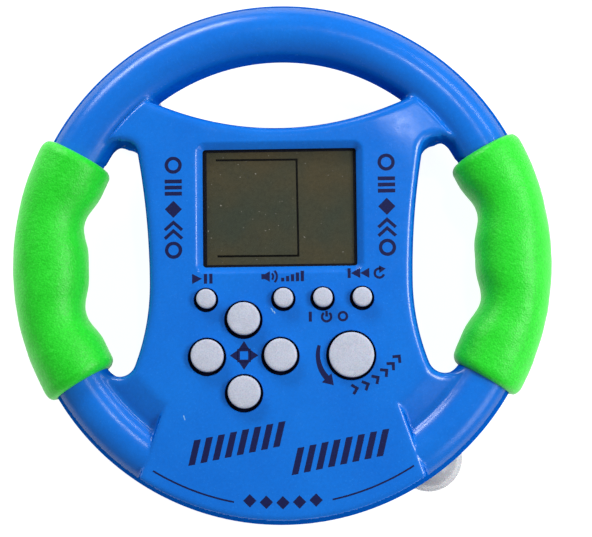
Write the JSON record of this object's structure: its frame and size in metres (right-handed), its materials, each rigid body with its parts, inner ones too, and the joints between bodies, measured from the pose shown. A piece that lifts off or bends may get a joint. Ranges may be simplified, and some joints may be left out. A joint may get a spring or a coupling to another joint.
{
  "type": "handheld electronic game",
  "caption": "Handheld electronic game in a steering-wheel case with soft side grips, a segment display, push buttons, a sliding battery cover and suction cups on its back.",
  "frame": {"origin": "on the surface that the suction cups rest on, under the middle of the ring", "axes": "+Z out of the front panel, +Y to the top of the wheel, +X to the right as the player sees it"},
  "size_m": [0.1612, 0.156, 0.0294],
  "materials": {
    "blue_plastic": "moulded, half gloss",
    "green_foam": "fine cell foam, dull sheen",
    "key_plastic": "moulded, satin",
    "clear_lens": "clear sheet, polished",
    "display": "segment display, grey film",
    "white_plastic": "moulded, plain",
    "strip_rubber": "striped conductive rubber",
    "board": "green coated board",
    "black_resin": "cast resin drop",
    "board_parts": "small electronic parts",
    "mat_rubber": "silicone rubber",
    "brass_disc": "thin disc with a ceramic layer",
    "lead_sheath": "thin insulated wire",
    "cell": "plain jacket",
    "spring_steel": "bright spring wire",
    "plated_steel": "plated sheet",
    "screw_steel": "plain",
    "clear_soft": "clear soft vinyl"
  },
  "bodies": {
    "case": {"front_shell": "blue_plastic", "rear_shell": "blue_plastic", "left_grip": "green_foam", "right_grip": "green_foam", "window_lens": "clear_lens", "display_glass": "display", "display_holder": "white_plastic", "contact_strips": "strip_rubber", "main_board": "board", "chip_cover": "black_resin", "board_parts": "board_parts", "key_mat": "mat_rubber", "start_dome": "mat_rubber", "sound_dome": "mat_rubber", "power_dome": "mat_rubber", "reset_dome": "mat_rubber", "up_dome": "mat_rubber", "left_dome": "mat_rubber", "right_dome": "mat_rubber", "down_dome": "mat_rubber", "turn_dome": "mat_rubber", "buzzer": "brass_disc", "buzzer_leads": "lead_sheath", "upper_battery": "cell", "lower_battery": "cell", "battery_springs": "spring_steel", "battery_contacts": "plated_steel", "battery_leads": "lead_sheath", "case_screws": "screw_steel", "board_screws": "screw_steel", "upper_left_cup": "clear_soft", "upper_right_cup": "clear_soft", "lower_left_cup": "clear_soft", "lower_right_cup": "clear_soft"},
    "start": {"start_button": "key_plastic"},
    "sound": {"sound_button": "key_plastic"},
    "power": {"power_button": "key_plastic"},
    "reset": {"reset_button": "key_plastic"},
    "up": {"up_button": "key_plastic"},
    "left": {"left_button": "key_plastic"},
    "right": {"right_button": "key_plastic"},
    "down": {"down_button": "key_plastic"},
    "turn": {"turn_button": "key_plastic"},
    "battery_cover": {"battery_cover": "blue_plastic"}
  },
  "joints": [
    {"name": "start_press", "type": "slide", "parent": "case", "child": "start", "axis": [0, 0, -1], "range_m": [0, 0.001], "stiffness_N_per_m": 1000, "springref_m": -0.0004, "deforming": ["start_dome"]},
    {"name": "sound_press", "type": "slide", "parent": "case", "child": "sound", "axis": [0, 0, -1], "range_m": [0, 0.001], "stiffness_N_per_m": 1000, "springref_m": -0.0004, "deforming": ["sound_dome"]},
    {"name": "power_press", "type": "slide", "parent": "case", "child": "power", "axis": [0, 0, -1], "range_m": [0, 0.001], "stiffness_N_per_m": 1000, "springref_m": -0.0004, "deforming": ["power_dome"]},
    {"name": "reset_press", "type": "slide", "parent": "case", "child": "reset", "axis": [0, 0, -1], "range_m": [0, 0.001], "stiffness_N_per_m": 1000, "springref_m": -0.0004, "deforming": ["reset_dome"]},
    {"name": "up_press", "type": "slide", "parent": "case", "child": "up", "axis": [0, 0, -1], "range_m": [0, 0.001], "stiffness_N_per_m": 1000, "springref_m": -0.0004, "deforming": ["up_dome"]},
    {"name": "left_press", "type": "slide", "parent": "case", "child": "left", "axis": [0, 0, -1], "range_m": [0, 0.001], "stiffness_N_per_m": 1000, "springref_m": -0.0004, "deforming": ["left_dome"]},
    {"name": "right_press", "type": "slide", "parent": "case", "child": "right", "axis": [0, 0, -1], "range_m": [0, 0.001], "stiffness_N_per_m": 1000, "springref_m": -0.0004, "deforming": ["right_dome"]},
    {"name": "down_press", "type": "slide", "parent": "case", "child": "down", "axis": [0, 0, -1], "range_m": [0, 0.001], "stiffness_N_per_m": 1000, "springref_m": -0.0004, "deforming": ["down_dome"]},
    {"name": "turn_press", "type": "slide", "parent": "case", "child": "turn", "axis": [0, 0, -1], "range_m": [0, 0.001], "stiffness_N_per_m": 1000, "springref_m": -0.0004, "deforming": ["turn_dome"]},
    {"name": "battery_cover_slide", "type": "slide", "parent": "case", "child": "battery_cover", "axis": [0, -1, 0], "range_m": [0, 0.034]}
  ]
}
